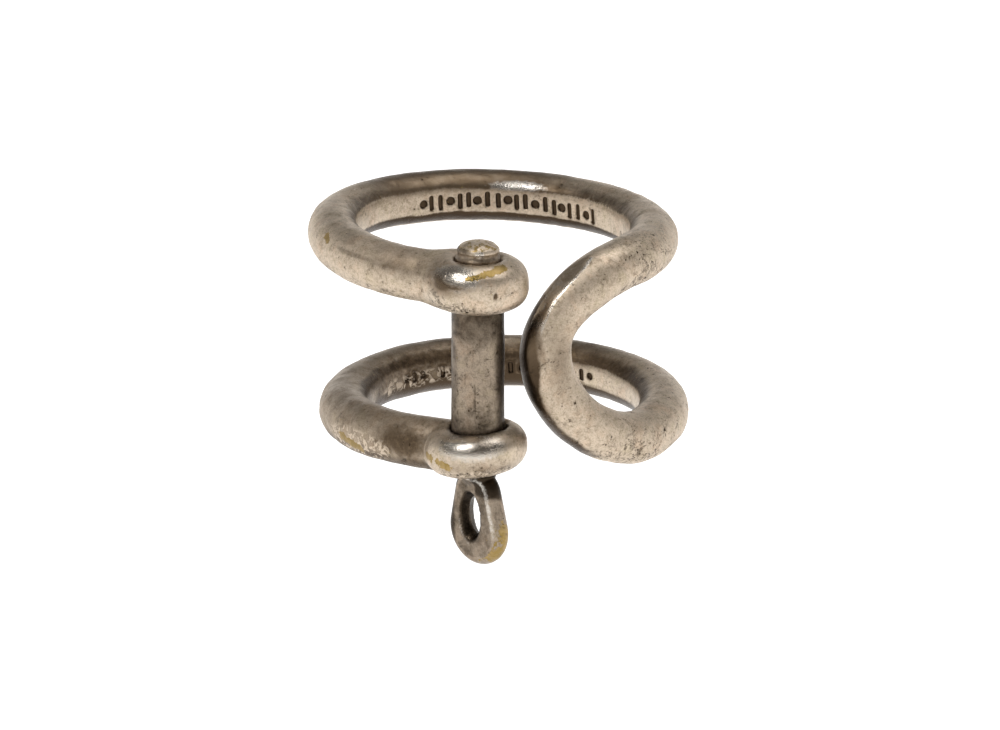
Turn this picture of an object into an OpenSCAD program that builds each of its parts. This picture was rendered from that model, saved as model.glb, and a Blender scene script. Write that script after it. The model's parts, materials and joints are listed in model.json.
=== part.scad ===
// Finger ring shaped like a bow shackle. A round rod is bent into a narrow U at the front, its two
// legs wrap round the finger as an upper and a lower band, and each ends in an ear. A screw pin with
// an eye closes the ears.
//
// Millimetres. +Z runs up the finger, -Y is the front. The origin is the middle of the finger hole,
// halfway between the two bands. Directions round the finger are angles from the front, positive
// towards +X.

/* [Finger hole and rod] */
// Diameter of the finger hole
finger_hole_d = 18.1; // [17:0.1:21]
// Diameter of the bent rod
rod_d = 3.4; // [3:0.1:3.8]
// Depth to which the finger hole flattens the inside of the rod
inner_flat_depth = 0.15; // [0.1:0.05:0.4]
// Height from the lower band's centre line to the upper band's
band_spacing = 12.1; // [11.6:0.1:13]
// Sideways shift of each band, the upper one towards -X and the lower one towards +X
band_shift = 0.36; // [0:0.02:0.5]

/* [Front bend] */
// Direction of the bend's tip
bend_direction = 17; // [14:1:24]
// Length round the finger from the bend's tip to the bands
bend_reach = 8.1; // [7:0.1:9]
// Height of the bend's tip above the origin
bend_lift = 0.4; // [0:0.1:0.8]

/* [Ears] */
// Direction of the ears and of the pin through them
ear_direction = -6.9; // [-12:0.1:-6]
// Distance of the pin from the middle of the finger hole
pin_distance = 11.2; // [11.1:0.05:11.6]
// Diameter of both ears
ear_d = 6.7; // [6:0.1:7.2]
// Thickness of the upper ear, which is tapped
upper_ear_t = 3.3; // [3:0.1:3.6]
// Thickness of the lower ear, which is plain
lower_ear_t = 2.9; // [2.8:0.1:3.4]
// Height of the upper ear's middle
upper_ear_z = 5.9; // [5.6:0.1:6]
// Height of the lower ear's middle
lower_ear_z = -5.4; // [-6:0.1:-5.2]
// Radius of the ears' rounded rims
ear_rounding = 1.4; // [1:0.1:1.4]

/* [Screw pin] */
// Diameter of the plain shank
shank_d = 3.5; // [3.3:0.05:3.6]
// Diameter over the thread
thread_d = 2.9; // [2.6:0.05:3]
// Gap all round the pin in its holes
running_gap = 0.05; // [0.02:0.01:0.1]
// Height of the pin's domed top
pin_top_z = 8.75; // [8.5:0.05:9]
// Rise of the dome
dome_rise = 0.4; // [0.2:0.05:0.6]
// Height of the groove's lower edge above the upper ear
groove_lift = 0.2; // [0.1:0.05:0.3]
// Width of the groove under the domed head
groove_w = 0.2; // [0.1:0.05:0.3]
// Depth of that groove
groove_depth = 0.25; // [0.1:0.05:0.4]

/* [Eye of the pin] */
// Diameter of the neck between the shank and the eye
neck_d = 2.8; // [2.4:0.1:3.2]
// Width of the eye at its widest, which is its lower half
eye_w = 4.8; // [4.2:0.1:5.2]
// Width of the eye's upper half, where it meets the neck
eye_top_w = 3.2; // [2.8:0.1:3.6]
// Thickness of the eye
eye_t = 1.3; // [1:0.1:1.6]
// Height of the eye's lowest point
eye_bottom_z = -13.2; // [-13.6:0.1:-13]
// Width of the oval hole
eye_hole_w = 2; // [1.5:0.1:2.2]
// Height of the oval hole
eye_hole_h = 3.4; // [3:0.1:3.6]
// Height of the hole's middle
eye_hole_z = -9.9; // [-10.1:0.1:-9.8]
// Turn of the eye's flat faces from facing the front
eye_turn = -45; // [-90:5:90]

/* [Hidden] */

hole_r = finger_hole_d / 2;
rod_r = rod_d / 2;
ring_r = hole_r + rod_r - inner_flat_depth;
band_z = band_spacing / 2;
band_start = bend_direction + bend_reach / ring_r * 180 / PI;
band_end = 360 + ear_direction - 5;
bend_sections = 40;
bend_sides = 24;

ear_r = ear_d / 2;
ear_flat_r = ear_r - ear_rounding;
band_notch_r = ear_flat_r + 0.5;
pin_x = pin_distance * sin(ear_direction);
pin_y = -pin_distance * cos(ear_direction);
upper_ear_top = upper_ear_z + upper_ear_t / 2;
upper_ear_bottom = upper_ear_z - upper_ear_t / 2;
lower_ear_bottom = lower_ear_z - lower_ear_t / 2;
shoulder_z = upper_ear_bottom - 0.02;
groove_z = upper_ear_top + groove_lift;
tall = 40;

silver = [0.60, 0.56, 0.51];
worn_silver = [0.68, 0.64, 0.58];
dull_silver = [0.45, 0.41, 0.37];

// The rod's section, with its inner side flattened by the finger hole
module rod_section() {
    intersection() {
        translate([ring_r, 0])
            circle(d = rod_d, $fn = 48);
        translate([hole_r, -rod_d])
            square(2 * rod_d);
    }
}

// One leg of the rod, from the front bend round the back of the finger to its ear
module band(shift, level) {
    translate([shift, 0, level])
        rotate([0, 0, band_start - 90])
            rotate_extrude(angle = band_end - band_start, $fn = 96)
                rod_section();
}

// A disc with a rounded rim, standing on the pin's axis
module ear_disc(level, thickness) {
    flat = thickness - 2 * ear_rounding;
    translate([pin_x, pin_y, level])
        rotate_extrude($fn = 64) {
            translate([0, -thickness / 2])
                square([ear_flat_r, thickness]);
            translate([0, -flat / 2])
                square([ear_r, flat]);
            for (side = [-1, 1])
                translate([ear_flat_r, side * flat / 2])
                    intersection() {
                        circle(r = ear_rounding, $fn = 48);
                        translate([0, -ear_rounding])
                            square([ear_rounding, 2 * ear_rounding]);
                    }
        }
}

// A hole along the pin's axis
module pin_hole(diameter) {
    translate([pin_x, pin_y, -tall / 2])
        cylinder(d = diameter, h = tall, $fn = 64);
}

// An ear, drilled for the pin and cut flush with the finger hole of its band
module ear(level, thickness, hole_d, shift) {
    difference() {
        ear_disc(level, thickness);
        pin_hole(hole_d);
        translate([shift, 0, -tall / 2])
            cylinder(r = hole_r, h = tall, $fn = 96);
    }
}

// A band whose end is hollowed to sit against its ear
module fitted_band(shift, level, ear_level, ear_thickness) {
    difference() {
        band(shift, level);
        ear_disc(ear_level, ear_thickness);
        pin_hole(2 * band_notch_r);
    }
}

module upper_band() {
    color(silver)
        fitted_band(-band_shift, band_z, upper_ear_z, upper_ear_t);
}

module lower_band() {
    color(silver)
        fitted_band(band_shift, -band_z, lower_ear_z, lower_ear_t);
}

// The bend's centre line is half an ellipse laid on the bands' cylinder. The turn runs from -90 at
// the lower band, through 0 at the tip, to 90 at the upper band.
function bend_angle(turn) = band_start - bend_reach / ring_r * 180 / PI * cos(turn);
function bend_half_height(turn) = turn < 0 ? band_z + bend_lift : band_z - bend_lift;

// Points of one section across the bend, kept out of the finger hole
function bend_section(turn) =
    let (
        angle = bend_angle(turn),
        half = bend_half_height(turn),
        along = bend_reach * sin(turn),
        rise = half * cos(turn),
        speed = norm([along, rise]),
        middle_z = bend_lift + half * sin(turn),
        middle_x = -band_shift * sin(turn)
    ) [
        for (side = [0 : bend_sides - 1])
            let (
                around = 360 * side / bend_sides,
                outward = ring_r + rod_r * cos(around),
                across = -rod_r * sin(around) * rise / speed,
                up = rod_r * sin(around) * along / speed,
                reach = norm([outward, across]),
                keep_out = max(1, hole_r / reach)
            ) [
                middle_x + keep_out * (outward * sin(angle) + across * cos(angle)),
                keep_out * (across * sin(angle) - outward * cos(angle)),
                middle_z + up
            ]
    ];

module front_bend() {
    points = [
        for (section = [0 : bend_sections])
            each bend_section(-90 + 180 * section / bend_sections)
    ];
    sides = [
        for (section = [0 : bend_sections - 1], side = [0 : bend_sides - 1])
            let (
                next = (side + 1) % bend_sides,
                here = section * bend_sides,
                above = here + bend_sides
            )
            each [[here + side, above + side, above + next], [here + side, above + next, here + next]]
    ];
    lower_cap = [for (side = [0 : bend_sides - 1]) side];
    upper_cap = [for (side = [bend_sides - 1 : -1 : 0]) bend_sections * bend_sides + side];
    color(silver)
        polyhedron(points, concat(sides, [lower_cap, upper_cap]));
}

module upper_ear() {
    color(worn_silver)
        ear(upper_ear_z, upper_ear_t, thread_d + 2 * running_gap, -band_shift);
}

module lower_ear() {
    color(worn_silver)
        ear(lower_ear_z, lower_ear_t, shank_d + 2 * running_gap, band_shift);
}

// Plain shank, with the shoulder that stops it under the upper ear
module pin_shank() {
    color(dull_silver)
        translate([pin_x, pin_y, lower_ear_bottom])
            cylinder(d = shank_d, h = shoulder_z - lower_ear_bottom, $fn = 64);
}

// Threaded end in the upper ear, with a groove and a domed head above it
module pin_thread() {
    head_z = groove_z + groove_w;
    dome_z = pin_top_z - dome_rise;
    thread_r = thread_d / 2;
    dome_r = (thread_r * thread_r + dome_rise * dome_rise) / (2 * dome_rise);
    color(worn_silver)
        translate([pin_x, pin_y, 0]) {
            translate([0, 0, shoulder_z])
                cylinder(d = thread_d, h = groove_z - shoulder_z, $fn = 64);
            translate([0, 0, groove_z])
                cylinder(r = thread_r - groove_depth, h = groove_w, $fn = 64);
            translate([0, 0, head_z])
                cylinder(d = thread_d, h = dome_z - head_z, $fn = 64);
            intersection() {
                translate([0, 0, dome_z])
                    cylinder(d = thread_d, h = dome_rise, $fn = 64);
                translate([0, 0, pin_top_z - dome_r])
                    sphere(r = dome_r, $fn = 96);
            }
        }
}

// A disc with a fully rounded rim, lying in the plane of the eye
module eye_disc(diameter) {
    rotate([90, 0, 0])
        rotate_extrude($fn = 32) {
            translate([0, -eye_t / 2])
                square([diameter / 2 - eye_t / 2, eye_t]);
            translate([diameter / 2 - eye_t / 2, 0])
                intersection() {
                    circle(d = eye_t, $fn = 16);
                    translate([0, -eye_t])
                        square(2 * eye_t);
                }
        }
}

// Neck and drop-shaped eye
module pin_eye() {
    neck_bottom = eye_hole_z + eye_hole_h / 2 + 0.1;
    hole_end = (eye_hole_h - eye_hole_w) / 2;
    color(worn_silver)
        translate([pin_x, pin_y, 0])
            rotate([0, 0, eye_turn])
                difference() {
                    union() {
                        translate([0, 0, neck_bottom])
                            cylinder(d = neck_d, h = lower_ear_bottom - neck_bottom, $fn = 48);
                        hull() {
                            translate([0, 0, eye_bottom_z + eye_w / 2])
                                eye_disc(eye_w);
                            translate([0, 0, neck_bottom - 0.4])
                                eye_disc(eye_top_w);
                        }
                    }
                    for (side = [-1, 1])
                        translate([0, 0, eye_hole_z + side * hole_end])
                            rotate([90, 0, 0])
                                cylinder(d = eye_hole_w, h = 2 * eye_t, center = true, $fn = 32);
                    translate([0, 0, eye_hole_z])
                        cube([eye_hole_w, 2 * eye_t, 2 * hole_end], center = true);
                }
}

upper_band();
lower_band();
front_bend();
upper_ear();
lower_ear();
pin_shank();
pin_thread();
pin_eye();
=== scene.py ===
"""A finger ring shaped like a bow shackle, in worn silver plate over brass.

The bow is one continuous skin round the rod, the front bend and both ears. The screw pin has a plain
shank, a threaded end with a domed head, and an eye. Shapes are worked out in millimetres, in the
frame's own axes, and scaled to metres when their objects are made.
"""
import json
import math

import bmesh
import bpy
import numpy as np
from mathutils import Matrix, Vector, kdtree


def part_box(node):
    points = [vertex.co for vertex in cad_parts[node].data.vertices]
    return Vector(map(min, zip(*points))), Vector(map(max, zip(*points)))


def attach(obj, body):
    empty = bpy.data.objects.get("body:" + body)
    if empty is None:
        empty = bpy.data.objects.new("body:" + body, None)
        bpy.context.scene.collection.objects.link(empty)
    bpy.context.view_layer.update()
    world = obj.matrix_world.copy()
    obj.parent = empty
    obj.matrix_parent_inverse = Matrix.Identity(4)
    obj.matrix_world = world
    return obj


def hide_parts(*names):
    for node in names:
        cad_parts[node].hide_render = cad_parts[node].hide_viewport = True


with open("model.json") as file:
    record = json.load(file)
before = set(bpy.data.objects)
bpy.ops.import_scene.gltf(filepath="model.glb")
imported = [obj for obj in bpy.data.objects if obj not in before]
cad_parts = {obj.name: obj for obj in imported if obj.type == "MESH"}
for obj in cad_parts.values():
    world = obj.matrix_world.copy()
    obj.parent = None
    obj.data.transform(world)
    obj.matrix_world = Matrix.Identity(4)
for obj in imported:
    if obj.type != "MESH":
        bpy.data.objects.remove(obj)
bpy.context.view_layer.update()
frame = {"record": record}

MM = 0.001
rng = np.random.default_rng(11)


# ---------------------------------------------------------------- sizes from the frame

def box_mm(node):
    low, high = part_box(node)
    return np.array(low) / MM, np.array(high) / MM


def mount(name):
    return next(m for m in frame["record"]["mounts"] if m["name"] == name)


upper_low, upper_high = box_mm("upper_band")
lower_low, lower_high = box_mm("lower_band")
rod_r = (upper_high[2] - upper_low[2]) / 2
ring_r = (upper_high[0] - upper_low[0]) / 2 - rod_r
hole_r = mount("upper_finger_hole")["dims"]["r_mm"]
upper_centre = (upper_low + upper_high) / 2
lower_centre = (lower_low + lower_high) / 2
band_shift = (lower_centre[0] - upper_centre[0]) / 2
band_z = (upper_centre[2] - lower_centre[2]) / 2

shank_low, shank_high = box_mm("pin_shank")
thread_low, thread_high = box_mm("pin_thread")
pin_axis = (shank_low[:2] + shank_high[:2]) / 2
shank_r = (shank_high[0] - shank_low[0]) / 2
thread_r = (thread_high[0] - thread_low[0]) / 2
running_gap = 0.05
thread_pitch = 0.5

upper_ear_low, upper_ear_high = box_mm("upper_ear")
lower_ear_low, lower_ear_high = box_mm("lower_ear")
ear_r = (upper_ear_high[0] - upper_ear_low[0]) / 2
eye_low, eye_high = box_mm("pin_eye")
hole_z = mount("eye_hole")["pos_m"][2] / MM


# ---------------------------------------------------------------- distance functions, in millimetres

def smooth_union(a, b, k):
    h = np.clip(0.5 + 0.5 * (b - a) / k, 0, 1)
    return b * (1 - h) + a * h - k * h * (1 - h)


def smooth_cut(solid, tool, k):
    return -smooth_union(-solid, tool, k)


def smooth_step(x, start, end):
    t = np.clip((x - start) / (end - start), 0, 1)
    return t * t * (3 - 2 * t)


def rounded(q, edge):
    """Distance to a body of revolution or extrusion from its two side distances, with a rounded edge."""
    q = q + edge
    return np.minimum(q.max(axis=-1), 0) + np.linalg.norm(np.maximum(q, 0), axis=-1) - edge


def from_pin(p):
    return np.hypot(p[:, 0] - pin_axis[0], p[:, 1] - pin_axis[1])


def ear(p, centre, thickness, edge, taper=0.0, lean=0.0):
    """Distance to a rounded disc. taper narrows it towards its upper face, and lean lifts its right."""
    x, y = p[:, 0] - centre[0], p[:, 1] - centre[1]
    z = p[:, 2] - centre[2] - lean * x
    out = np.hypot(x, y) - ear_r + taper * z
    return rounded(np.stack([out, np.abs(z) - thickness / 2], axis=1), edge)


def ripples(count, amplitude, shortest, longest):
    """Seeded waves that make a hand-finished surface slightly uneven."""
    waves = rng.normal(size=(count, 3))
    waves /= np.linalg.norm(waves, axis=1)[:, None]
    waves *= 2 * math.pi / rng.uniform(shortest, longest, size=(count, 1))
    phases = rng.uniform(0, 2 * math.pi, size=count)
    return lambda p: amplitude * np.sin(p @ waves.T + phases).sum(axis=1) / math.sqrt(count)


# ---------------------------------------------------------------- the rod's centre line

# Angles are in degrees round the finger, from the front towards the right. Pairs are for the upper leg
# and then the lower. A leg's tilt is its rise to the right and its rise to the back.
ear_direction = math.degrees(math.atan2(pin_axis[0], -pin_axis[1]))
bend_direction = 17.0
bend_reach = (7.96, 8.31)
bend_lift = 0.445
bend_length = 23
leg_tilt = ((-0.029, -0.011), (-0.002, 0.028))
leg_end_z = (5.84, -5.6)
lower_wider = 0.05
leg_bow_angle = 117.0
rod_end_angle = 9.0
path_spacing = 0.08


def round_finger(angle, shift, radius):
    a = np.radians(angle)
    return np.stack([shift + radius * np.sin(a), -radius * np.cos(a), np.zeros_like(a)], axis=1)


def leg_points(side):
    """One leg, from its ear round the back of the finger to the front bend. side is 1 above, -1 below."""
    leg = 0 if side > 0 else 1
    start = ear_direction - rod_end_angle
    end = bend_direction + math.degrees(bend_reach[leg] / ring_r) - 360
    count = int(math.radians(start - end) * ring_r / path_spacing)
    angle = np.linspace(start, end, count)
    p = round_finger(angle, -band_shift * side, ring_r + lower_wider * leg)
    rise_right, rise_back = leg_tilt[leg]
    level = side * band_z + rise_right * p[:, 0] + rise_back * p[:, 1]
    near_ear = smooth_step(angle, -leg_bow_angle, start)
    p[:, 2] = level + near_ear * (leg_end_z[leg] - level[0])
    return p


def bend_points():
    """The front bend: half an ellipse laid on the bands' cylinder, from the upper leg to the lower."""
    turn = np.radians(np.linspace(90, -90, int(bend_length / path_spacing)))[1:-1]
    upper = turn > 0
    reach = np.where(upper, *bend_reach)
    start = bend_direction + np.degrees(reach / ring_r)
    angle = start - np.degrees(reach / ring_r) * np.cos(turn)
    wider = lower_wider * smooth_step(-np.sin(turn), 0, 1)
    p = round_finger(angle, -band_shift * np.sin(turn), ring_r + wider)
    tilt = np.where(upper[:, None], *leg_tilt)
    level = np.where(upper, band_z, -band_z) + (tilt * p[:, :2]).sum(axis=1)
    p[:, 2] = bend_lift + (level - bend_lift) * np.abs(np.sin(turn))
    return p


def rod_path():
    upper, lower = leg_points(1), leg_points(-1)
    return np.concatenate([upper, bend_points(), lower[::-1]])


path = rod_path()
tangents = np.gradient(path, axis=0)
tangents /= np.linalg.norm(tangents, axis=1)[:, None]
outward = path * [1, 1, 0]
outward /= np.linalg.norm(outward, axis=1)[:, None]
sideways = np.cross(tangents, outward)


def nearest_on_path(p):
    tree = kdtree.KDTree(len(path))
    for i, point in enumerate(path):
        tree.insert(point, i)
    tree.balance()
    return np.array([tree.find(point)[1] for point in p])


def from_path(p, near):
    """Each point's distance from the centre line, its nearest sample and its offset from that sample.
    near is the nearest sample before the point last moved."""
    best, index, search = np.full(len(p), np.inf), near, 4
    for step in range(-search, search + 1):
        i = np.clip(near + step, 0, len(path) - 1)
        d = ((p - path[i]) ** 2).sum(axis=1)
        closer = d < best
        best, index = np.where(closer, d, best), np.where(closer, i, index)
    v = p - path[index]
    along = (v * tangents[index]).sum(axis=1)
    ends = (index == 0) | (index == len(path) - 1)
    return np.sqrt(np.maximum(best - np.where(ends, 0, along**2), 0)), index, v


# ---------------------------------------------------------------- the bow

upper_ear_z = (upper_ear_low[2] + upper_ear_high[2]) / 2
upper_ear_t = upper_ear_high[2] - upper_ear_low[2]
lower_ear_z = (lower_ear_low[2] + lower_ear_high[2]) / 2
lower_ear_t = lower_ear_high[2] - lower_ear_low[2]
upper_ear_centre = np.array([*pin_axis, upper_ear_z - 0.04])
lower_ear_centre = np.array([pin_axis[0] - 0.12, pin_axis[1], lower_ear_z - 0.02])
rod_thicker = 0.03
upper_ear_blend, lower_ear_blend = 1.15, 0.3
flat_z, flat_turn, flat_depth, flat_edge = (0.4, 4.7), (54, 3), 0.15, 0.06
dish_r, dish_depth, dish_edge = 9.0, 0.15, 0.25
finger_hole_edge, bore_edge = 0.2, 0.07
uneven = ripples(14, 0.02, 2.5, 6.0)
dented = ripples(24, 0.009, 0.8, 1.9)


def band_middle(z):
    """Sideways place of the finger hole's middle at a height."""
    return -band_shift * np.clip(z / band_z, -1, 1)


def from_finger(p):
    return np.hypot(p[:, 0] - band_middle(p[:, 2]), p[:, 1])


def outward_level(p):
    """Level unit vectors out from the finger hole's middle."""
    out = np.stack([p[:, 0] - band_middle(p[:, 2]), p[:, 1], np.zeros(len(p))], axis=1)
    return out / np.linalg.norm(out, axis=1)[:, None]


def on_bend(index):
    return (path[index, 0] > 0) & (path[index, 1] < 0)


def upper_ear_distance(p):
    return ear(p, upper_ear_centre, upper_ear_t, 1.45, taper=0.05)


def lower_ear_distance(p):
    return ear(p, lower_ear_centre, lower_ear_t, 1.38, lean=0.08)


def filed_side(index, offset):
    """Distance inside a narrow flat filed along the bend, turning from its front to its side as it rises."""
    z = path[index, 2]
    turn = np.radians(np.interp(z, flat_z, flat_turn))
    out = np.cos(turn) * (offset * sideways[index]).sum(axis=1)
    out += np.sin(turn) * (offset * outward[index]).sum(axis=1)
    filed = smooth_step(z, -2.2, 0.5) * (1 - smooth_step(z, 4.6, 5.8)) * on_bend(index)
    return rod_r - flat_depth + 0.4 * (1 - filed) - out


def slimming(index):
    """How much the rod is worn away beside the filed flat."""
    return 0.13 * np.exp(-((path[index, 2] - 2.8) / 1.7) ** 2) * on_bend(index)


def bow_distance(p, near):
    away, index, offset = from_path(p, near)
    rod = away - rod_r - rod_thicker + slimming(index)
    rod = smooth_cut(rod, filed_side(index, offset), flat_edge)
    d = smooth_union(rod, upper_ear_distance(p), upper_ear_blend)
    d = smooth_union(d, lower_ear_distance(p), lower_ear_blend)
    d = d + uneven(p) + dented(p)
    d = smooth_cut(d, from_finger(p) - hole_r, finger_hole_edge)
    r = from_pin(p)
    dish = np.hypot(r, p[:, 2] - (upper_ear_high[2] + dish_r - dish_depth)) - dish_r
    d = smooth_cut(d, dish, dish_edge)
    bore = np.where(p[:, 2] > 0, thread_r, shank_r) + running_gap
    return smooth_cut(d, r - bore, bore_edge)


# ---------------------------------------------------------------- the eye

# The eye is a little thicker than its CAD part, and hangs a little lower.
eye_turn = math.radians(-45)
eye_t, eye_lower = 1.45, 0.12
eye_bottom_r = 2.4
eye_top_r = 1.85
eye_side = np.array([math.cos(eye_turn), math.sin(eye_turn)])
eye_face = np.array([math.sin(eye_turn), -math.cos(eye_turn)])
eye_bottom_z = eye_low[2] + eye_bottom_r - eye_lower
eye_top_z = -8.6
neck_low_z, neck_low_r, neck_high_z, neck_high_r = -7.6, 0.7, -6.4, 1.5


def drop(u, z, low_z, low_r, high_z, high_r):
    """Distance to a drop outline: a low circle and a high one, joined by their tangents."""
    u, z = np.abs(u), z - low_z
    height = high_z - low_z
    slope = (low_r - high_r) / height
    side = math.sqrt(1 - slope * slope)
    k = -slope * u + side * z
    below, above = k < 0, k > side * height
    straight = side * u + slope * z - low_r
    return np.where(below, np.hypot(u, z) - low_r,
                    np.where(above, np.hypot(u, z - height) - high_r, straight))


def eye_hole(u, v, z):
    """Distance from the hole's wall, which is narrowest half way through."""
    half_w, half_h = 0.95, 1.7
    waist = 0.74 + 0.26 * np.clip(np.abs(v) / (eye_t / 2), 0, 1)
    return (np.hypot((u + 0.2) / half_w, (z - hole_z + 0.12) / half_h) - waist) * half_w


def in_eye(p):
    """Places along the eye's width, through it and up it. The eye leans a little as it hangs."""
    lean, aside, lean_z = 0.035, 0.04, -8.5
    flat, z = p[:, :2] - pin_axis, p[:, 2]
    return flat @ eye_side - aside - lean * (lean_z - z), flat @ eye_face, z


def eye_outline(u, z):
    return drop(u, z, eye_bottom_z, eye_bottom_r, eye_top_z, eye_top_r)


def eye_distance(p, near=None):
    u, v, z = in_eye(p)
    neck = drop(from_pin(p), z, neck_low_z, neck_low_r, neck_high_z, neck_high_r)
    bulge, face_edge, hole_edge, neck_blend = 0.73, 0.12, 0.14, 0.15
    side = np.hypot(np.maximum(eye_outline(u, z) + bulge, 0), v) - bulge
    d = smooth_cut(side, eye_t / 2 - np.abs(v), face_edge)
    d = smooth_cut(d, eye_hole(u, v, z), hole_edge)
    d = smooth_union(d, neck, neck_blend)
    return np.maximum(d, z - eye_high[2])


# ---------------------------------------------------------------- meshes

def ball_cluster(centres, radii):
    """Vertices and faces of many overlapping balls, as a rough filling of a shape."""
    bm = bmesh.new()
    bmesh.ops.create_icosphere(bm, subdivisions=2, radius=1)
    unit = np.array([v.co[:] for v in bm.verts])
    faces = np.array([[v.index for v in f.verts] for f in bm.faces])
    bm.free()
    centres, radii = np.asarray(centres, float), np.broadcast_to(radii, len(centres))
    verts = (centres[:, None, :] + unit[None] * radii[:, None, None]).reshape(-1, 3)
    offsets = np.arange(len(centres))[:, None, None] * len(unit)
    return verts, (faces[None] + offsets).reshape(-1, 3)


def remeshed(verts, faces, size):
    """Even quads round a rough filling."""
    mesh = bpy.data.meshes.new("rough")
    mesh.from_pydata(verts.tolist(), [], faces.tolist())
    obj = bpy.data.objects.new("rough", mesh)
    bpy.context.collection.objects.link(obj)
    mod = obj.modifiers.new("even", "REMESH")
    mod.mode = "VOXEL"
    mod.voxel_size = size
    done = bpy.data.meshes.new_from_object(obj.evaluated_get(bpy.context.evaluated_depsgraph_get()))
    bpy.data.objects.remove(obj)
    bpy.data.meshes.remove(mesh)
    return done


def coordinates(mesh):
    flat = np.empty(len(mesh.vertices) * 3)
    mesh.vertices.foreach_get("co", flat)
    return flat.reshape(-1, 3)


def set_coordinates(mesh, p):
    mesh.vertices.foreach_set("co", p.ravel())
    mesh.update()


def edge_ends(mesh):
    flat = np.empty(len(mesh.edges) * 2, dtype=np.int64)
    mesh.edges.foreach_get("vertices", flat)
    return flat.reshape(-1, 2)


def relaxed(p, ends, strength):
    total = np.zeros_like(p)
    for a, b in ((0, 1), (1, 0)):
        for axis in range(3):
            total[:, axis] += np.bincount(ends[:, a], weights=p[ends[:, b], axis], minlength=len(p))
    count = np.bincount(ends.ravel(), minlength=len(p))
    return p + strength * (total / np.maximum(count, 1)[:, None] - p)


def gradient(distance, p, near):
    h = 0.01
    steps = np.eye(3) * h
    return np.stack([(distance(p + s, near) - distance(p - s, near)) / (2 * h) for s in steps], axis=1)


def settle(mesh, distance, near_of, rounds, relax=0.5):
    """Moves every vertex onto the surface where distance is zero, keeping the quads even."""
    p, ends, furthest = coordinates(mesh), edge_ends(mesh), 0.25
    for _ in range(rounds):
        near = near_of(p)
        if relax:
            p = relaxed(p, ends, relax)
        for _ in range(3):
            d, g = distance(p, near), gradient(distance, p, near)
            step = d / np.maximum((g**2).sum(axis=1), 0.2)
            p = p - np.clip(step, -furthest, furthest)[:, None] * g
    set_coordinates(mesh, p)


def finished(name, mesh, body, material, nodes):
    """Scales a millimetre mesh to metres and gives the object its place in the frame."""
    mesh.name = name
    set_coordinates(mesh, coordinates(mesh) * MM)
    mesh.polygons.foreach_set("use_smooth", [True] * len(mesh.polygons))
    obj = bpy.data.objects.new(name, mesh)
    bpy.context.collection.objects.link(obj)
    obj.data.materials.clear()
    obj.data.materials.append(material)
    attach(obj, body)
    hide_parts(*nodes)


def behind(p):
    """Angle in degrees from the back of the finger, growing to the right."""
    return np.degrees(np.arctan2(p[:, 0] - band_middle(p[:, 2]), p[:, 1]))


def stamp_rows():
    """The generic marks stamped inside the bands: angle, height, half width and half height of each."""
    rows = []
    first, last, count = -31, 47, 20
    for i, turn in enumerate(np.linspace(first, last, count)):
        size = (0.13, 0.5) if i % 3 else (0.27, 0.27)
        level = 6.0 + 0.05 * math.sin(3 * i) - 0.009 * max(turn, 0)
        rows.append((turn + 0.4 * math.sin(5 * i), level, *size))
    for i, turn in enumerate((-46, -41.5, -37, -27, -22, 3, 8, 13, 31, 35.5, 40)):
        rows.append((turn, -5.82, *((0.12, 0.36) if i % 2 else (0.2, 0.2))))
    return rows


def stamp_depth(p, shoulder=0.07):
    """0 on the plain flat and 1 at the bottom of a stamped mark."""
    arc, deep = behind(p), np.zeros(len(p))
    for turn, z, half_w, half_h in stamp_rows():
        beside = np.abs(np.radians(arc - turn)) * hole_r - half_w
        off = np.stack([beside, np.abs(p[:, 2] - z) - half_h], axis=1)
        deep = np.maximum(deep, 1 - smooth_step(rounded(off, min(half_w, half_h) - 0.02), -0.05, shoulder))
    return deep


def stamp(mesh):
    """Refines the inner flats where the marks are, and sinks the marks into them."""
    margin, mark_depth = 0.25, 0.17
    bm = bmesh.new()
    bm.from_mesh(mesh)
    centres = np.array([f.calc_center_median()[:] for f in bm.faces])
    on_flat = np.abs(from_finger(centres) - hole_r) < 0.04
    arc, close = behind(centres), np.zeros(len(centres), bool)
    for turn, z, half_w, half_h in stamp_rows():
        across = np.abs(np.radians(arc - turn)) * hole_r < half_w + margin
        close |= across & (np.abs(centres[:, 2] - z) < half_h + margin)
    faces = [f for f, chosen in zip(bm.faces, on_flat & close) if chosen]
    edges = list({e for f in faces for e in f.edges})
    bmesh.ops.subdivide_edges(bm, edges=edges, cuts=3, use_grid_fill=True)
    bm.to_mesh(mesh)
    bm.free()
    settle(mesh, bow_distance, nearest_on_path, 1, relax=0)
    p = coordinates(mesh)
    flat = from_finger(p) < hole_r + 0.05
    set_coordinates(mesh, p + outward_level(p) * (mark_depth * stamp_depth(p) * flat)[:, None])


def around_pin(radius, z, count, ball):
    a = np.linspace(0, 2 * math.pi, count, endpoint=False)
    return [(pin_axis[0] + radius * math.cos(t), pin_axis[1] + radius * math.sin(t), z, ball) for t in a]


def make_bow_mesh():
    ear_ring_r, ear_ball, face_spacing = 2.4, 0.86, 0.17
    balls = [(*point, rod_r - 0.05) for point in path[::4]]
    for middle, thickness in ((upper_ear_z, upper_ear_t), (lower_ear_z, lower_ear_t)):
        for level in (-1, 0, 1):
            balls += around_pin(ear_ring_r, middle + level * (thickness / 2 - 0.9), 20, ear_ball)
    balls = np.array(balls)
    mesh = remeshed(*ball_cluster(balls[:, :3], balls[:, 3]), face_spacing)
    settle(mesh, bow_distance, nearest_on_path, 4)
    stamp(mesh)
    return mesh


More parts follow.
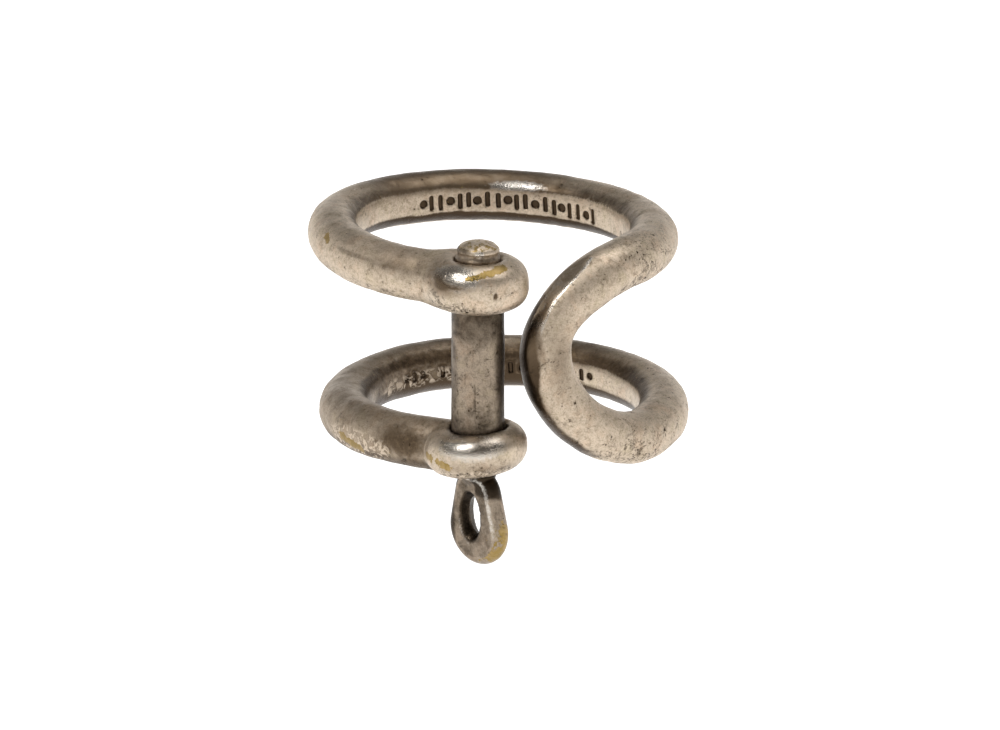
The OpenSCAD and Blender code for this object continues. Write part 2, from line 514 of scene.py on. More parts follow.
def make_eye_mesh():
    ring_ball, neck_ball, face_spacing = 0.6, 1.2, 0.065
    balls = []
    for t in np.linspace(0, 2 * math.pi, 40, endpoint=False):
        u, z = 1.55 * math.sin(t), hole_z - 0.35 + 2.3 * math.cos(t)
        balls.append((*(pin_axis + eye_side * u), z, ring_ball))
    balls += [(*pin_axis, z, neck_ball) for z in np.linspace(eye_high[2] - 1.0, -8.0, 3)]
    balls = np.array(balls)
    mesh = remeshed(*ball_cluster(balls[:, :3], balls[:, 3]), face_spacing)
    settle(mesh, eye_distance, lambda p: None, 4)
    return mesh


def lathe(profile, sides, radius_at=None):
    """A closed body of revolution on the pin's axis. profile is (radius, height) points, from the axis
    at the bottom to the axis at the top. radius_at may change a radius by its angle and height."""
    verts, faces = [(*pin_axis, profile[0][1])], []
    rows = profile[1:-1]
    for radius, z in rows:
        for s in range(sides):
            a = 2 * math.pi * s / sides
            r = radius_at(radius, a, z) if radius_at else radius
            verts.append((pin_axis[0] + r * math.cos(a), pin_axis[1] + r * math.sin(a), z))
    verts.append((*pin_axis, profile[-1][1]))
    for row in range(len(rows) - 1):
        for s in range(sides):
            t, base = (s + 1) % sides, 1 + row * sides
            faces.append((base + s, base + t, base + sides + t, base + sides + s))
    last = 1 + (len(rows) - 1) * sides
    for s in range(sides):
        t = (s + 1) % sides
        faces.append((0, 1 + t, 1 + s))
        faces.append((len(verts) - 1, last + s, last + t))
    mesh = bpy.data.meshes.new("lathe")
    mesh.from_pydata(verts, [], faces)
    return mesh


def rounded_corner(radius, z, corner, rising):
    """Profile points round one corner of a cylinder."""
    turns = np.linspace(0, math.pi / 2, 6)
    if rising:
        return [(radius - corner + corner * math.cos(t), z - corner + corner * math.sin(t)) for t in turns]
    return [(radius - corner + corner * math.sin(t), z + corner - corner * math.cos(t)) for t in turns]


def make_shank_mesh():
    seam_gap = 0.01
    low, high = shank_low[2] + seam_gap, shank_high[2] - seam_gap
    facet_turn, facet_depth = math.radians(-78), 0.035
    profile = [(0, low)] + rounded_corner(shank_r, low, 0.12, False)
    profile += [(shank_r, z) for z in np.arange(low + 0.4, high - 0.3, 0.25)]
    profile += rounded_corner(shank_r, high, 0.1, True) + [(0, high)]
    worn = ripples(10, 0.012, 2.0, 5.0)

    def radius_at(r, a, z):
        point = np.array([[r * math.cos(a), r * math.sin(a), z]])
        depth = facet_depth * smooth_step(-z, 0.0, 1.6)
        facet = (shank_r - depth) / max(math.cos(a - facet_turn), 0.5)
        return min(r, facet) - 0.01 + float(worn(point)[0])

    return lathe(profile, 128, radius_at)


def make_thread_mesh():
    """The threaded end, a collar that fills the ear's bore, a shallow waist and a lumpy domed head."""
    low, top = thread_low[2], thread_high[2] - 0.1
    crest, collar, waist_depth, groove = thread_r - 0.02, 0.05, 0.1, 0.26
    collar_z, rim_z = thread_high[2] - 1.2, thread_high[2] - 0.72
    profile = [(0, low), (crest - 0.3, low), (crest - 0.25, low + 0.05)]
    profile += [(crest + collar * smooth_step(z, collar_z - 0.4, collar_z - 0.2), z)
                for z in np.arange(low + 0.1, collar_z, 0.04)]
    for t in np.linspace(0, 1, 12):
        waist = waist_depth * math.sin(math.pi * t) - collar * (1 - t)
        profile.append((crest - waist, collar_z + t * (rim_z - collar_z)))
    profile += [(crest * math.cos(t) ** 0.85, rim_z + (top - rim_z) * math.sin(t))
                for t in np.linspace(0.06, 1.52, 24)]
    profile.append((0, top))
    dents = ripples(16, 0.035, 0.7, 2.2)

    def radius_at(r, a, z):
        cut = smooth_step(z, low + 0.1, low + 0.3) * (1 - smooth_step(z, collar_z - 0.45, collar_z - 0.2))
        wave = ((z - low) / thread_pitch - a / (2 * math.pi)) % 1
        cut = groove * cut * min(1, max(0, 2.4 * abs(wave - 0.5) - 0.1))
        dent = float(dents(np.array([[r * math.cos(a), r * math.sin(a), z]]))[0]) if z > collar_z else 0
        lean = 0.05 * min(math.cos(a), 0) * smooth_step(z, collar_z + 0.2, rim_z)
        return max(r + min(dent, 0) + lean, 0.01) - cut

    return lathe(profile, 96, radius_at)


# ---------------------------------------------------------------- materials

class Surface:
    """A short way to write a material's nodes. Its coordinates are the object's own, in millimetres."""

    def __init__(self, name):
        self.material = bpy.data.materials.new(name)
        self.material.use_nodes = True
        self.tree = self.material.node_tree
        self.shader = self.tree.nodes["Principled BSDF"]
        place = self.tree.nodes.new("ShaderNodeTexCoord").outputs["Object"]
        self.place = self.node("VectorMath", {"operation": "SCALE"}, {0: place, "Scale": 1 / MM}).outputs[0]

    def node(self, kind, settings, inputs):
        made = self.tree.nodes.new("ShaderNode" + kind)
        for key, value in settings.items():
            setattr(made, key, value)
        for key, value in inputs.items():
            self.set(made.inputs[key], value)
        return made

    def set(self, socket, value):
        if isinstance(value, bpy.types.NodeSocket):
            self.tree.links.new(value, socket)
        else:
            socket.default_value = value

    def maths(self, operation, a, b=0.0):
        return self.node("Math", {"operation": operation}, {0: a, 1: b}).outputs[0]

    def times(self, a, b):
        return self.maths("MULTIPLY", a, b)

    def noise(self, scale, detail, rough, distortion=0.0, stretch=None):
        place = self.place
        if stretch:
            place = self.node("Mapping", {}, {"Vector": place, "Scale": stretch}).outputs[0]
        inputs = {"Vector": place, "Scale": scale, "Detail": detail, "Roughness": rough,
                  "Distortion": distortion}
        return self.node("TexNoise", {}, inputs).outputs[0]

    def specks(self, scale, size):
        """1 inside small uneven specks, 0 outside them."""
        wobble = self.node("TexNoise", {}, {"Vector": self.place, "Scale": 2.2 * scale}).outputs["Color"]
        inputs = {0: wobble, 1: (0.5 / scale,) * 3, 2: self.place}
        moved = self.node("VectorMath", {"operation": "MULTIPLY_ADD"}, inputs).outputs[0]
        inputs = {"Vector": moved, "Scale": scale}
        away = self.node("TexVoronoi", {"feature": "F1"}, inputs).outputs["Distance"]
        return self.step(away, size * 1.3, size * 0.7)

    def veins(self, scale, width, detail=3.0):
        """1 on thin wandering lines, 0 between them."""
        away = self.maths("ABSOLUTE", self.maths("SUBTRACT", self.noise(scale, detail, 0.6, 0.8), 0.5))
        return self.step(away, width, width * 0.3)

    def area(self, attribute):
        return self.node("Attribute", {"attribute_name": attribute}, {}).outputs["Fac"]

    def step(self, value, start, end, low=0.0, high=1.0):
        inputs = {"Value": value, "From Min": start, "From Max": end, "To Min": low, "To Max": high}
        return self.node("MapRange", {"interpolation_type": "SMOOTHSTEP"}, inputs).outputs[0]

    def mask(self, attribute, grain, edge, raggedness=0.7):
        """An attribute's area, with its edge broken up by a grain."""
        shift = self.times(self.maths("SUBTRACT", grain, 0.5), raggedness)
        return self.step(self.maths("ADD", self.area(attribute), shift), 0.5 - edge, 0.5 + edge)

    def mix(self, factor, a, b):
        made = self.node("Mix", {"data_type": "RGBA"}, {})
        for socket, value in zip((made.inputs[0], made.inputs[6], made.inputs[7]), (factor, a, b)):
            self.set(socket, (*value, 1) if isinstance(value, tuple) else value)
        return made.outputs[2]

    def finish(self, colour, roughness, height, depth_mm):
        self.shader.inputs["Metallic"].default_value = 1.0
        self.set(self.shader.inputs["Base Color"], colour)
        self.set(self.shader.inputs["Roughness"], roughness)
        bump = self.node("Bump", {}, {"Strength": 1.0, "Distance": depth_mm * MM, "Height": height})
        self.set(self.shader.inputs["Normal"], bump.outputs[0])
        return self.material


def worn_silver(name, light, dull, brown, dark, dullness, streak):
    """Silver plate that has gone dull and dark, with painted shade and painted highlights laid on it from
    attributes, and is worn to bright silver or to brass in places.
    streak is how scratches are stretched along each axis."""
    bright, dirt = (0.72, 0.68, 0.62), (0.05, 0.033, 0.018)
    old_brass, fresh_brass = (0.26, 0.18, 0.06), (0.37, 0.26, 0.11)
    relief_mm = 0.03
    s = Surface(name)

    # grains that the layers share
    clouds = s.noise(0.42, 5, 0.6, 0.4)
    blotches = s.noise(1.1, 6, 0.65, 0.5)
    grain = s.noise(3.4, 6, 0.68, 0.3)
    sand = s.noise(10.0, 4, 0.65)
    scratches = s.noise(4.0, 3, 0.6, 0.2, streak)
    mottle = s.maths("ADD", s.times(clouds, 0.5), s.times(blotches, 0.5))

    # uneven silver: dull clouds, warmer and greener places, fine grain, scratches, pale flakes and fine
    # painted glints
    colour = s.mix(s.step(mottle, 0.68 - 0.35 * dullness, 0.95 - 0.5 * dullness), light, dull)
    warmth = s.noise(0.7, 3, 0.6, 0.2)
    pinker = tuple(c * k for c, k in zip(light, (1.0, 0.86, 0.76)))
    greener = tuple(c * k for c, k in zip(light, (0.86, 0.87, 0.72)))
    colour = s.mix(s.step(warmth, 0.5, 0.66, 0, 0.4), colour, pinker)
    colour = s.mix(s.step(warmth, 0.48, 0.34, 0, 0.35), colour, greener)
    colour = s.mix(s.step(grain, 0.45, 0.68, 0, 0.52), colour, dull)
    colour = s.mix(s.step(sand, 0.46, 0.68, 0, 0.62), colour, dull)
    colour = s.mix(s.step(scratches, 0.52, 0.7, 0, 0.35), colour, dull)
    pale = tuple(1.12 * c for c in light)
    flakes = s.step(s.noise(2.4, 5, 0.62, 0.9), 0.5, 0.53)
    colour = s.mix(s.times(flakes, 0.33), colour, pale)
    rubbed = s.step(s.noise(1.4, 6, 0.7, 1.2), 0.56, 0.6, 0, 0.3)
    colour = s.mix(rubbed, colour, dull)
    # painted glints: fine pale specks where the sand grain is low
    colour = s.mix(s.step(sand, 0.46, 0.32, 0, 0.4), colour, pale)

    # tarnish together with painted shade in hollows and on shaded sides, then what is worn bright or painted
    # bright as highlights, painted shade, flaked or down to the brass
    patina = s.mask("patina", blotches, 0.42, 0.9)
    brownness = s.maths("SUBTRACT", s.step(grain, 0.4, 0.65, 0, 0.7), s.step(s.area("patina"), 0.85, 1.2))
    colour = s.mix(patina, colour, s.mix(s.maths("MAXIMUM", brownness, 0.0), dark, brown))
    # worn polished places and painted highlights turn the colour towards bright silver and lower the
    # roughness
    polish = s.mask("polish", grain, 0.3, 1.2)
    colour = s.mix(s.times(polish, 0.75), colour, bright)
    # painted shade: the shade area turns the colour towards brown, and its darkest part towards dark
    colour = s.mix(s.area("shade"), colour, brown)
    colour = s.mix(s.step(s.area("shade"), 0.8, 1.0, 0, 0.6), colour, dark)
    flakes = s.times(flakes, s.mask("flaked", blotches, 0.2))
    colour = s.mix(s.times(flakes, 0.75), colour, pale)
    brass = s.mask("brass", grain, 0.06, 2.6)
    colour = s.mix(brass, colour, s.mix(s.step(blotches, 0.4, 0.6), old_brass, fresh_brass))

    # pits and cracks, which are filled with dirt
    pitted = s.times(s.specks(1.5, 0.17), s.mask("pits", blotches, 0.1, 1.8))
    fine_pits = s.times(s.specks(3.6, 0.2), s.mask("pits", blotches, 0.15, 1.8))
    cracks = s.times(s.veins(1.0, 0.034), s.step(grain, 0.46, 0.54))
    cracks = s.times(cracks, s.mask("pits", blotches, 0.3, 1.8))
    fissures = s.times(s.veins(0.6, 0.024, 5.0), s.step(blotches, 0.46, 0.52))
    fissures = s.times(fissures, s.step(s.area("pits"), 0.35, 0.55))
    cracks = s.maths("MAXIMUM", cracks, fissures)
    colour = s.mix(s.times(cracks, 0.7), colour, dark)
    holes = s.maths("MAXIMUM", pitted, fine_pits)
    colour = s.mix(holes, colour, dirt)
    holes = s.maths("MAXIMUM", holes, cracks)

    # roughness and relief
    rough = s.step(mottle, 0.3, 0.7, 0.46, 0.56)
    rough = s.maths("SUBTRACT", rough, s.times(s.area("smooth"), 0.18))
    rough = s.maths("SUBTRACT", rough, s.times(polish, 0.2))
    rough = s.maths("MAXIMUM", rough, 0.14)
    height = s.maths("ADD", s.times(grain, 0.8), s.times(sand, 0.3))
    height = s.maths("ADD", height, s.times(scratches, 0.3))
    height = s.maths("ADD", height, s.times(flakes, 0.4))
    height = s.maths("SUBTRACT", height, s.maths("ADD", holes, s.times(brass, 0.4)))
    return s.finish(colour, rough, height, relief_mm)


# ---------------------------------------------------------------- wear, painted shade and painted highlights, as vertex attributes

def spot(p, centre, radii):
    """1 inside an oval, falling to 0 outside it."""
    away = np.linalg.norm((p - centre) / radii, axis=1)
    return np.clip(1.5 - away, 0, 1)


def haze(p, centre, radii):
    """1 in the middle, fading slowly outwards."""
    return np.exp(-(((p - centre) / radii) ** 2).sum(axis=1))


def arc_mark(p, middle, angles, heights, width):
    """A streak at a height that changes evenly with the angle round an upright axis."""
    x, y = p[:, 0] - middle[0], p[:, 1] - middle[1]
    angle = np.degrees(np.arctan2(x, -y))
    t = np.clip((angle - angles[0]) / (angles[1] - angles[0]), 0, 1)
    past = np.radians(angle - (angles[0] + t * (angles[1] - angles[0]))) * np.hypot(x, y)
    off = p[:, 2] - (heights[0] + t * (heights[1] - heights[0]))
    return np.clip(1.5 - np.hypot(past, off) / width, 0, 1)


def bend_flat(p, n, near):
    """Where the bend's filed flat is, and the painted highlight line along its front edge."""
    away, index, offset = from_path(p, near)
    z = path[index, 2]
    depth = np.where((away < rod_r + 0.1) & (z > -1.6) & (z < 5.3), filed_side(index, offset), 1)
    forward = (n * outward[index]).sum(axis=1)
    line = np.exp(-((depth - 0.03) / 0.035) ** 2) * (forward > 0.12) * smooth_step(z, 1.6, 2.6)
    return 1 - smooth_step(depth, 0.0, 0.08), line


def most(*areas):
    return np.clip(np.maximum.reduce(areas), 0, 1)


def add_attributes(mesh, **areas):
    for name, values in areas.items():
        mesh.attributes.new(name, "FLOAT", "POINT").data.foreach_set("value", values.astype(np.float32))


def wear_bow(mesh):
    p = coordinates(mesh)
    near = nearest_on_path(p)
    n = gradient(bow_distance, p, near)
    n /= np.linalg.norm(n, axis=1)[:, None]
    inward = -(n * outward_level(p)).sum(axis=1)
    outside = inward < 0.2
    angle = np.degrees(np.arctan2(p[:, 0], -p[:, 1]))
    across = behind(p)
    upper = p[:, 2] > 0
    flat = smooth_step(inward, 0.94, 0.985)
    r = from_pin(p)
    bend = (p[:, 0] > 0) & (r < 10) & ((r > 3.6) | (np.abs(p[:, 2]) < 3.6)) & (inward < 0.6)

    # dark places, patina together with painted shade: inside the finger hole beside the worn flats, in
    # recesses and creases, under downward faces, along the bend's left side, and where nothing rubs
    stamped = stamp_depth(p) * (inward > 0.3)
    grime = 0.6 * stamp_depth(p, 0.32) * (inward > 0.3)
    lower_worn = 0.1 + 0.8 * smooth_step(across, 10, 32) + 0.15 * smooth_step(-across, 20, 40)
    above = 0.92 - 0.2 * upper * smooth_step(np.abs(across - 5), 10, 40)
    # inside the finger hole: patina and painted shade, darkest on faces that point down and lighter on the
    # worn flats, with dirt in the stamped marks
    inside = np.where(n[:, 2] < -0.1, 1.3, above) * smooth_step(inward, 0.2, 0.8)
    inside = inside - np.where(upper, 1.3, lower_worn) * flat + 1.5 * stamped + grime
    # painted shade: darker on upward faces at the back of the bands
    back_top = np.where(upper, 0.62, 0.22 + 0.3 * smooth_step(across, 0, 22))
    back_top = back_top * smooth_step(n[:, 2], -0.1, 0.5)
    back_top = back_top * (1 - smooth_step(np.abs(across + np.where(upper, 14, -8)), 25, 60))
    away, index, offset = from_path(p, near)
    along_z, aside = path[index, 2], (offset * sideways[index]).sum(axis=1) / rod_r
    filed, filed_highlight_line = bend_flat(p, n, near)
    # painted shade: the bend's left side is darkened, more widely near its middle
    edge_start = 0.68 - 0.32 * np.exp(-((along_z - 0.3) / 1.4) ** 2)
    shaded_bend_side = 1.2 * bend * smooth_step(aside, edge_start, edge_start + 0.25)
    shaded_bend_side = shaded_bend_side * (1 - smooth_step(along_z, 2.4, 4.2)) * smooth_step(along_z, -5.8, -4.2)
    # patina and painted shade in the crease where the lower ear meets the rod, and in the recesses round the
    # stub and shank
    crease = np.clip(1 - np.abs(away - rod_r) / 0.35, 0, 1)
    crease = 0.65 * crease * np.clip(1 - np.abs(lower_ear_distance(p)) / 0.3, 0, 1)
    round_shank = 1 - smooth_step(r, shank_r + 0.1, shank_r + 0.6)
    round_stub = 1 - smooth_step(r, thread_r + 0.1, thread_r + 0.45)
    recess = np.where(upper, 0.2 * round_stub, 0.75 * round_shank) * (n[:, 2] > 0)
    # painted shade on faces that point down
    under_edge_shade = 0.5 * smooth_step(-n[:, 2], 0.9, 1.0)
    line = 0.5 * arc_mark(p, (0, 0), (-58, -22), (6.95, 6.4), 0.16) * outside
    dull_front = 0.4 * haze(p, (-5.6, -10.2, 6.6), (3.4, 3.4, 1.2)) * outside
    brown_front = haze(p, (-6.2, -10.1, -5.3), (3.0, 2.4, 1.2)) * outside * (lower_ear_distance(p) > 0.1)
    on_arm = (p[:, 2] < 0) * smooth_step(-p[:, 0], -2, 2) * (lower_ear_distance(p) > 0.1)
    # the lower arm is dull, and darker still on faces that point down: painted shade
    lower_arm_dull_and_shade = (0.3 + 0.5 * smooth_step(-n[:, 2], 0.2, 0.7)) * on_arm * (inward < 0.5)
    dent = 1.4 * spot(p, (-0.2, -13.9, 5.75), (0.17, 0.5, 0.26))
    patina = np.maximum.reduce([inside, shaded_bend_side, crease, recess, under_edge_shade, line, dull_front,
                                brown_front, lower_arm_dull_and_shade, back_top + lower_arm_dull_and_shade, dent])

    # smoother painted shade and painted dark reflections: the filed flat, round the ears' polished tops,
    # under the lower ear, the bend's middle, and the left of both bands
    # painted dark reflections round the ears' polished tops, kept lighter where their highlights fall
    upper_oval = spot(p, (-3.3, -13.2, 6.35), (1.7, 1.3, 0.75))
    upper_oval = upper_oval - 0.6 * spot(p, (-2.75, -13.5, 6.75), (0.75, 0.8, 0.3))
    upper_oval = np.maximum(upper_oval, haze(p, (-4.0, -12.9, 6.6), (0.85, 1.5, 0.6)))
    upper_oval = np.maximum(upper_oval, 1.1 * haze(p, (-2.7, -13.9, 6.28), (1.4, 0.9, 0.28)))
    lower_oval = spot(p, (-1.7, -13.6, -4.45), (2.3, 1.6, 0.5))
    lower_oval = lower_oval - 1.6 * spot(p, (-2.5, -13.9, -4.4), (0.8, 1.0, 0.3))
    filed_shade = filed * bend * (0.95 - 0.35 * smooth_step(along_z, 2.4, 4.4)) - filed_highlight_line
    filed_shade = filed_shade * smooth_step(along_z, -0.4, 1.6)
    # painted highlight along the upper edge of the upper band's inner flat
    inner_flat_highlight = 0.9 * (inward > 0.6) * spot(p, (1.3, 9.2, 6.95), (1.9, 2, 0.3)) * (1 - stamped)
    top_shade = np.where(upper, 1.15, 0.8) * back_top * (1 - inner_flat_highlight)
    under_lower_ear = 0.6 * haze(p, (-1.2, -13.8, -6.0), (2.6, 1.4, 0.5))
    band_front = 0.65 * haze(p, (-6.6, -10.4, 7.0), (2.2, 2.6, 0.7)) * outside
    bend_middle = 0.6 * haze(p, (4.1, -11.6, 0.6), (0.9, 1.5, 2.4)) * bend
    shade = most(0.9 * filed_shade, upper_oval, 0.65 * lower_oval, under_lower_ear, band_front, bend_middle,
                 0.35 * on_arm * (inward < 0.5), top_shade)

    # brass shows through on edges that rub
    brass = most(arc_mark(p, pin_axis, (-12, 45), (6.9, 7.4), 0.17) * (n[:, 2] < 0.98),
                 arc_mark(p, (0, 0), (-68, -65), (7.25, 7.0), 0.2),
                 arc_mark(p, (0, 0), (-60, -50), (-6.1, -6.5), 0.3),
                 arc_mark(p, pin_axis, (-75, -62), (-5.6, -5.7), 0.22),
                 arc_mark(p, pin_axis, (-50, -36), (-5.75, -5.95), 0.27)) * outside
    # worn polished tops of the ears, plus painted highlights at the inner flat's edge and along the filed
    # flat's front edge
    polish = most(spot(p, (-2.9, -13.5, 6.75), (1.9, 1.6, 0.7)),
                  spot(p, (-2.0, -14.1, -4.5), (2.4, 1.6, 0.8)),
                  inner_flat_highlight, 0.9 * filed_highlight_line * outside)

    near_upper_ear = 1 - smooth_step(upper_ear_distance(p), 0.05, 0.4)
    near_lower_ear = 1 - smooth_step(lower_ear_distance(p), 0.05, 0.4)
    smooth = most(0.6 * smooth_step(n[:, 2], 0.6, 0.95) * (r > 9), 0.8 * flat, 0.6 * near_upper_ear,
                  0.6 * near_lower_ear, shaded_bend_side, 0.6 * (inward > 0), 0.7 * filed * bend)
    lower_edge = smooth_step(-n[:, 2], 0.3, 0.75) * outside
    under_ear = haze(p, (-4.0, -13.0, 5.1), (1.8, 1.4, 0.6)) * outside
    cracked = haze(p, (10.6, -5.8, 6.2), (2.4, 3.4, 1.6)) + haze(p, (8.4, -8.9, -6.0), (4.4, 3.4, 1.1))
    cracked = cracked + haze(p, (-0.8, -14.2, -6.1), (2.4, 1.4, 0.6)) + 0.8 * smooth_step(angle, 30, 50)
    pits = 0.3 + 0.3 * lower_edge + 0.5 * under_ear + 0.13 * cracked * outside
    scabs = (across < -12) * (across > -60) * smooth_step(-p[:, 2], 5.1, 5.6)
    scabs = scabs * smooth_step(inward, 0.9, 0.99)
    flaked = most(1.3 * haze(p, (-9.6, -7.6, -6.2), (3.0, 3.8, 0.95)) * outside, 0.5 * scabs,
                  0.8 * haze(p, (-1.2, -13.2, -6.4), (2.4, 2.0, 0.5)) * outside)
    add_attributes(mesh, patina=patina, brass=brass, polish=polish, pits=pits, smooth=smooth, flaked=flaked,
                   shade=shade)


def wear_pin(mesh):
    p = coordinates(mesh)
    r, top = from_pin(p), thread_high[2]
    facing_right = (p[:, 0] - pin_axis[0]) / np.maximum(r, 0.1)
    u, v, z = in_eye(p)
    hole, outline = eye_hole(u, v, z), eye_outline(u, z)
    shank, eye, head = (z > shank_low[2]) & (z < shank_high[2]), z < shank_low[2], z > 7

    # painted shade: the shank darker towards both ears and down its left and right sides
    ends = 0.7 * most(smooth_step(-z, 0.6, 4.4), smooth_step(z, 0.2, 3.6)) * shank * (r > 1)
    left = 0.5 * smooth_step(-facing_right, 0.6, 0.9) * shank
    right = 0.7 * smooth_step(facing_right, 0.48, 0.8) * shank
    # painted shade on the head's waist under the dome
    head_waist_shade = 0.65 * smooth_step(z, 5.4, 6.9) * (1 - smooth_step(z, top - 1.0, top - 0.62))
    # patina and painted shade inside the eye's hole
    hole_patina_and_shade = 0.85 * eye * (1 - smooth_step(hole, 0.0, 0.12))
    face = eye * (np.abs(v) > eye_t / 2 - 0.1)
    rim = eye * (np.abs(v) < eye_t / 2 - 0.1)
    # painted shade on the eye just under the lower ear
    under_ear = 1.2 * eye * smooth_step(z, -9.0, -8.0) * most(rim, smooth_step(u, 0.1, 0.6))
    face_dark = 0.45 * face * (1 - smooth_step(outline, -0.66, -0.5))
    # painted shade on the eye's left side
    eye_left_shade = 0.9 * eye * smooth_step(-u, 1.1, 1.9)
    # painted shade on the head's left side
    head_left_shade = 0.65 * head * smooth_step(-facing_right, 0.05, 0.5) * (z < top - 0.4)
    seam = spot(p, (pin_axis[0] - 0.2, pin_axis[1] - shank_r, -1.9), (0.09, 0.5, 1.3))
    short_seam = spot(p, (pin_axis[0] + 0.7, pin_axis[1] - 1.5, -2.6), (0.08, 0.5, 0.8))
    seams = 0.6 * most(seam, 0.8 * short_seam) * shank
    patina = np.maximum.reduce([hole_patina_and_shade, ends, left, right, head_waist_shade, under_ear, face_dark, eye_left_shade,
                                head_left_shade, seams])

    rim_low = arc_mark(p, pin_axis, (-200, 200), (-12.2, -12.2), 0.7) * (outline > -0.45)
    rim_right = spot(np.stack([u, v, z], axis=1), (2.3, 0, -11.0), (0.5, 0.6, 1.0))
    brass = most(0.75 * rim_low * (u > -0.3), 0.85 * rim_right * eye, 0.44 * (z > top - 0.5))
    inner_edge = (1 - smooth_step(np.abs(hole - 0.1), 0.03, 0.14)) * (u < -0.3) * (z < -10.2)
    # painted highlights along the eye's right edge and on the head's front, set as polish
    eye_edge_highlight = (1 - smooth_step(np.abs(outline + 0.5), 0.05, 0.32)) * (u > 0)
    eye_edge_highlight = eye_edge_highlight * smooth_step(z, -12.2, -10.4)
    head_front_highlight = spot(p, (pin_axis[0] + 0.1, pin_axis[1] - 1.4, top - 0.7), (0.32, 0.6, 0.22))
    polish = most(0.35 * face * inner_edge, 0.5 * eye_edge_highlight * (v > 0), 0.9 * head_front_highlight)
    head_top = z > top - 0.45
    add_attributes(mesh, patina=patina, brass=brass, polish=polish, pits=0.3 + 0.08 * shank, shade=0 * z,
                   flaked=most(0.55 * rim_low, 0.7 * head_top), smooth=0.9 * eye + 0.6 * head + 0.5 * shank)


# ---------------------------------------------------------------- stage, light and camera

def make_floor():
    """A round white table whose edge turns up all the way round."""
    flat_r, rim_r, rim_h, sides = 0.8, 1.25, 0.3, 96
    below_eye_mm = 30
    low = (eye_low[2] - below_eye_mm) * MM
    turns = np.linspace(0, math.pi / 2, 12)
    profile = [(flat_r + (rim_r - flat_r) * math.sin(t), low + rim_h * (1 - math.cos(t))) for t in turns]
    verts = [(0, 0, low)]
    for radius, z in profile:
        verts += [(radius * math.cos(2 * math.pi * s / sides), radius * math.sin(2 * math.pi * s / sides), z)
                  for s in range(sides)]
    faces = [(0, 1 + s, 1 + (s + 1) % sides) for s in range(sides)]
    for row in range(len(profile) - 1):
        for s in range(sides):
            a, b = 1 + row * sides + s, 1 + row * sides + (s + 1) % sides
            faces.append((a, a + sides, b + sides, b))
    mesh = bpy.data.meshes.new("floor")
    mesh.from_pydata(verts, [], faces)
    mat = bpy.data.materials.new("floor_white")
    mat.use_nodes = True
    shader = mat.node_tree.nodes["Principled BSDF"]
    shader.inputs["Base Color"].default_value = (0.5, 0.5, 0.5, 1)
    shader.inputs["Roughness"].default_value = 1.0
    shader.inputs["Specular IOR Level"].default_value = 0.0
    shader.inputs["Emission Color"].default_value = (1, 1, 1, 1)
    shader.inputs["Emission Strength"].default_value = 0.95
    mesh.materials.append(mat)
    floor = bpy.data.objects.new("floor", mesh)
    bpy.context.collection.objects.link(floor)


def area_light(name, direction, distance, size, power):
    light = bpy.data.lights.new(name, "AREA")
    light.shape, light.size, light.size_y = "RECTANGLE", *size
    light.energy = power
    obj = bpy.data.objects.new(name, light)
    way = Vector(direction).normalized()
    obj.location = way * distance
    obj.rotation_euler = way.to_track_quat("Z", "Y").to_euler()
    bpy.context.collection.objects.link(obj)


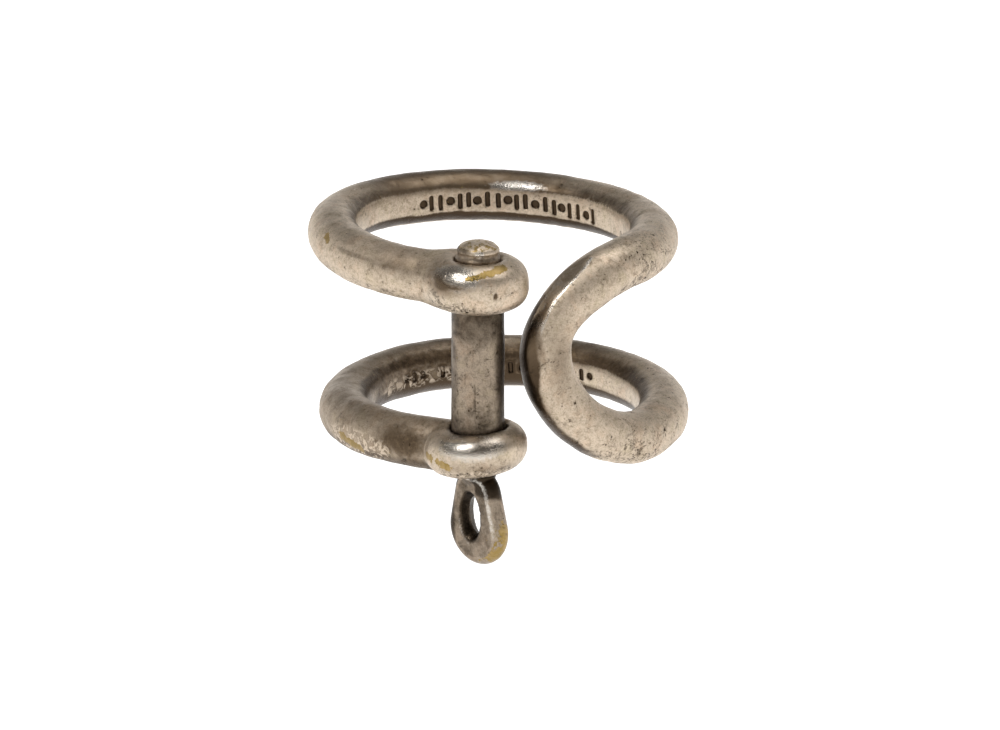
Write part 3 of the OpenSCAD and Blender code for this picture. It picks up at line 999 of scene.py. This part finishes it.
def make_lights():
    """A sky that is bright at the horizon and dim overhead, a strip of key light and a soft top light."""
    world = bpy.data.worlds.new("studio")
    bpy.context.scene.world = world
    world.use_nodes = True
    tree = world.node_tree
    background = tree.nodes["Background"]
    background.inputs["Color"].default_value = (1.0, 0.98, 0.95, 1)
    way = tree.nodes.new("ShaderNodeTexCoord").outputs["Generated"]
    height = tree.nodes.new("ShaderNodeSeparateXYZ")
    fade = tree.nodes.new("ShaderNodeMapRange")
    fade.interpolation_type = "SMOOTHSTEP"
    for socket, value in (("From Min", 0.15), ("From Max", 0.6), ("To Min", 0.58), ("To Max", 0.19)):
        fade.inputs[socket].default_value = value
    tree.links.new(way, height.inputs[0])
    tree.links.new(height.outputs["Z"], fade.inputs["Value"])
    tree.links.new(fade.outputs[0], background.inputs["Strength"])
    area_light("key", (-0.43, -0.36, 0.8), 0.35, (0.15, 0.08), 0.42)
    area_light("overhead", (0.3, 0.1, 0.95), 0.7, (0.5, 0.5), 2.0)


def make_camera():
    elevation, distance = math.radians(16.2), 0.55
    view_width_mm, drop_mm, side_mm = 66.7557, 2.88, 0.1
    cam = bpy.data.cameras.new("camera")
    cam.sensor_width = 36
    cam.lens = cam.sensor_width * distance / (view_width_mm * MM)
    cam.clip_start, cam.clip_end = 0.05, 10
    obj = bpy.data.objects.new("camera", cam)
    up = Vector((0, math.sin(elevation), math.cos(elevation)))
    back = Vector((0, -math.cos(elevation), math.sin(elevation)))
    obj.location = back * distance - up * drop_mm * MM + Vector((side_mm * MM, 0, 0))
    obj.rotation_euler = back.to_track_quat("Z", "Y").to_euler()
    bpy.context.collection.objects.link(obj)
    bpy.context.scene.camera = obj


bow_metal = worn_silver(
    "bow_metal", light=(0.605, 0.503, 0.392), dull=(0.295, 0.233, 0.163), brown=(0.16, 0.114, 0.072),
    dark=(0.065, 0.044, 0.027), dullness=0.5, streak=(1.0, 1.0, 6.0))
pin_metal = worn_silver(
    "pin_metal", light=(0.33, 0.266, 0.202), dull=(0.16, 0.125, 0.09), brown=(0.08, 0.058, 0.04),
    dark=(0.036, 0.026, 0.017), dullness=0.55, streak=(1.0, 1.0, 0.12))

bow_mesh, shank_mesh, thread_mesh, eye_mesh = (
    make_bow_mesh(), make_shank_mesh(), make_thread_mesh(), make_eye_mesh())
wear_bow(bow_mesh)
for mesh in (shank_mesh, thread_mesh, eye_mesh):
    wear_pin(mesh)
finished("bow", bow_mesh, "bow", bow_metal,
         ["upper_band", "lower_band", "front_bend", "upper_ear", "lower_ear"])
finished("shank", shank_mesh, "pin_middle", pin_metal, ["pin_shank"])
finished("threaded_end", thread_mesh, "pin_ends", bow_metal, ["pin_thread"])
finished("eye", eye_mesh, "pin_ends", pin_metal, ["pin_eye"])
make_floor()
make_lights()
make_camera()
bpy.context.scene.view_settings.view_transform = "Standard"
